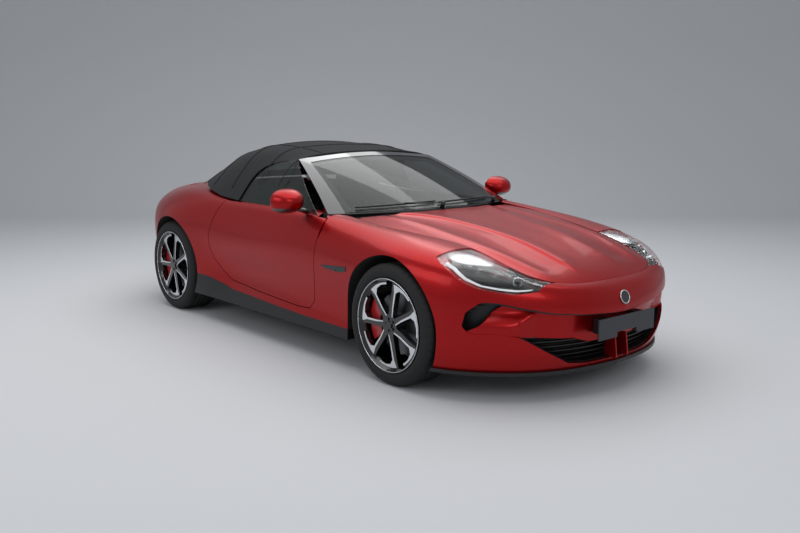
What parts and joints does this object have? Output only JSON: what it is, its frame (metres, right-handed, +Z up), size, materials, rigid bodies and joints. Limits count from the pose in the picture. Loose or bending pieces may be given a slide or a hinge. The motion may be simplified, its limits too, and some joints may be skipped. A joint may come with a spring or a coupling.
{
  "type": "roadster convertible car",
  "caption": "Two-seat roadster car with a closed fabric roof, upward-swinging doors, hinged bonnet and boot lid, steered front wheels and spoked alloy wheels.",
  "frame": {"origin": "on the ground, midway along the length and the width", "axes": "+Z up, the nose towards -Y, the driver's side (right-hand drive) towards -X"},
  "size_m": [2.132, 4.5357, 1.326],
  "materials": {
    "red_paint": "metallic lacquer",
    "black_plastic": "satin",
    "gloss_black": "gloss",
    "clear_glass": "polished",
    "roof_fabric": "woven",
    "seat_leather": "grained",
    "trim": "soft-touch",
    "lamp_lens": "polished",
    "lamp_red": "gloss",
    "tub_coat": "undercoat",
    "forged": "as forged",
    "rim_metal": "gloss black with bright-cut edges",
    "disc_iron": "turned",
    "tyre_rubber": "matt"
  },
  "bodies": {
    "body": {"body_tub": "tub_coat", "power_units": "tub_coat", "front_suspension": "forged", "rear_suspension": "forged", "front_bumper": "red_paint", "mouth_panel": "red_paint", "intake_grille": "black_plastic", "front_splitter": "black_plastic", "wing_left": "red_paint", "wing_right": "red_paint", "sills": "red_paint", "side_skirts": "black_plastic", "quarter_left": "red_paint", "quarter_right": "red_paint", "rear_bumper": "red_paint", "rear_diffuser": "black_plastic", "rear_deck": "red_paint", "windscreen_frame": "gloss_black", "windscreen": "clear_glass", "soft_top": "roof_fabric", "rear_window": "clear_glass", "seats": "seat_leather", "dashboard": "trim", "headlamps": "lamp_lens", "tail_lamp": "lamp_red"},
    "bonnet": {"bonnet": "red_paint"},
    "boot_lid": {"boot_lid": "red_paint"},
    "door_left": {"door_left": "red_paint", "door_glass_left": "clear_glass", "mirror_left": "gloss_black"},
    "door_right": {"door_right": "red_paint", "door_glass_right": "clear_glass", "mirror_right": "gloss_black"},
    "knuckle_left": {"knuckle_left": "forged"},
    "knuckle_right": {"knuckle_right": "forged"},
    "wheel_front_left": {"rim_front_left": "rim_metal", "tyre_front_left": "tyre_rubber", "disc_front_left": "disc_iron"},
    "wheel_front_right": {"rim_front_right": "rim_metal", "tyre_front_right": "tyre_rubber", "disc_front_right": "disc_iron"},
    "wheel_rear_left": {"rim_rear_left": "rim_metal", "tyre_rear_left": "tyre_rubber", "disc_rear_left": "disc_iron"},
    "wheel_rear_right": {"rim_rear_right": "rim_metal", "tyre_rear_right": "tyre_rubber", "disc_rear_right": "disc_iron"},
    "steering_wheel": {"steering_wheel": "trim"}
  },
  "joints": [
    {"name": "steer_left", "type": "hinge", "parent": "body", "child": "knuckle_left", "pos_m": [0.775, -1.345, 0.351], "axis": [0, 0, 1], "range_deg": [-28, 28]},
    {"name": "steer_right", "type": "hinge", "parent": "body", "child": "knuckle_right", "pos_m": [-0.775, -1.345, 0.351], "axis": [0, 0, 1], "range_deg": [-28, 28]},
    {"name": "steering_wheel_turn", "type": "hinge", "parent": "body", "child": "steering_wheel", "pos_m": [-0.37, -0.225, 0.812], "axis": [0, 0.9272, 0.3746], "range_deg": [-420, 420]},
    {"name": "spin_front_left", "type": "hinge", "parent": "knuckle_left", "child": "wheel_front_left", "pos_m": [0.8125, -1.345, 0.351], "axis": [1, 0, 0], "continuous": true},
    {"name": "spin_front_right", "type": "hinge", "parent": "knuckle_right", "child": "wheel_front_right", "pos_m": [-0.8125, -1.345, 0.351], "axis": [1, 0, 0], "continuous": true},
    {"name": "spin_rear_left", "type": "hinge", "parent": "body", "child": "wheel_rear_left", "pos_m": [0.7975, 1.345, 0.351], "axis": [1, 0, 0], "continuous": true},
    {"name": "spin_rear_right", "type": "hinge", "parent": "body", "child": "wheel_rear_right", "pos_m": [-0.7975, 1.345, 0.351], "axis": [1, 0, 0], "continuous": true},
    {"name": "door_right_swing", "type": "hinge", "parent": "body", "child": "door_right", "pos_m": [-0.84, -0.597, 0.849], "axis": [0.866, 0, 0.5], "range_deg": [0, 78]},
    {"name": "door_left_swing", "type": "hinge", "parent": "body", "child": "door_left", "pos_m": [0.84, -0.597, 0.849], "axis": [0.866, 0, -0.5], "range_deg": [0, 78]},
    {"name": "bonnet_lift", "type": "hinge", "parent": "body", "child": "bonnet", "pos_m": [0, -0.74, 0.852], "axis": [-1, 0, 0], "range_deg": [0, 48]},
    {"name": "boot_lift", "type": "hinge", "parent": "body", "child": "boot_lid", "pos_m": [0, 1.345, 0.94], "axis": [1, 0, 0], "range_deg": [0, 60]}
  ],
  "couplings": [
    {"joint": "steer_right", "follows": "steer_left", "ratio": 1},
    {"joint": "steering_wheel_turn", "follows": "steer_left", "ratio": 15}
  ]
}
